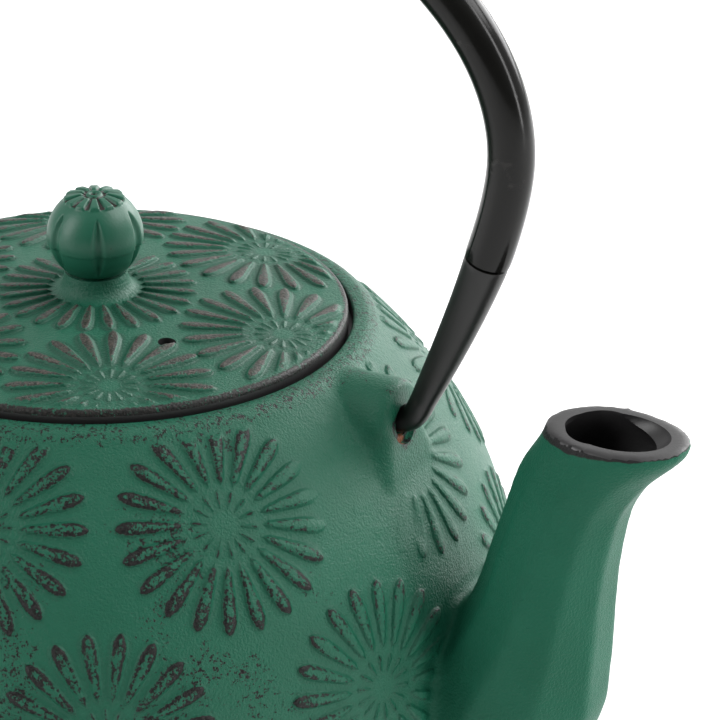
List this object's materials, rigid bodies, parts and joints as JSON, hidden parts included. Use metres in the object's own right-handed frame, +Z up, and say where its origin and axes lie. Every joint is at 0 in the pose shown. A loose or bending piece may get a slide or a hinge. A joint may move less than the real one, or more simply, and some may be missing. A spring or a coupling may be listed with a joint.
{
  "type": "cast-iron teapot",
  "caption": "Round cast-iron teapot with flower relief, upright spout, lid with ball knob, lift-out mesh infuser and a bail handle that folds to either side.",
  "frame": {"origin": "centre of the flat base, on the surface that the pot stands on", "axes": "+Z up out of the mouth, +X towards the spout, +Y to the pot's left seen from behind with the spout pointing away"},
  "size_m": [0.2131, 0.16, 0.2149],
  "materials": {
    "green_enamel": "matte green enamel over cast iron, worn dark on the raised petals",
    "black_paint": "semi-gloss black paint",
    "stainless_steel": "plain stainless steel, woven mesh on the basket",
    "zinc_plate": "dull zinc plate"
  },
  "bodies": {
    "pot": {"pot_body": "green_enamel"},
    "handle": {"handle_tube": "black_paint", "handle_end_front": "black_paint", "handle_end_rear": "black_paint"},
    "infuser": {"infuser_rim": "stainless_steel", "infuser_wall": "stainless_steel", "infuser_floor": "stainless_steel", "infuser_floor_ring": "stainless_steel"},
    "lid": {"lid": "green_enamel", "knob_washer": "zinc_plate"},
    "knob": {"lid_knob": "green_enamel", "knob_rivet": "zinc_plate"}
  },
  "joints": [
    {"name": "handle_fold", "type": "hinge", "parent": "pot", "child": "handle", "pos_m": [0, 0, 0.0997], "axis": [1, 0, 0], "range_deg": [-130, 130]},
    {"name": "infuser_lift", "type": "slide", "parent": "pot", "child": "infuser", "axis": [0, 0, 1], "range_m": [0, 0.06]},
    {"name": "lid_lift", "type": "slide", "parent": "infuser", "child": "lid", "axis": [0, 0, 1], "range_m": [0, 0.06]},
    {"name": "knob_turn", "type": "hinge", "parent": "lid", "child": "knob", "pos_m": [0, 0, 0.1173], "axis": [0, 0, 1], "continuous": true}
  ]
}
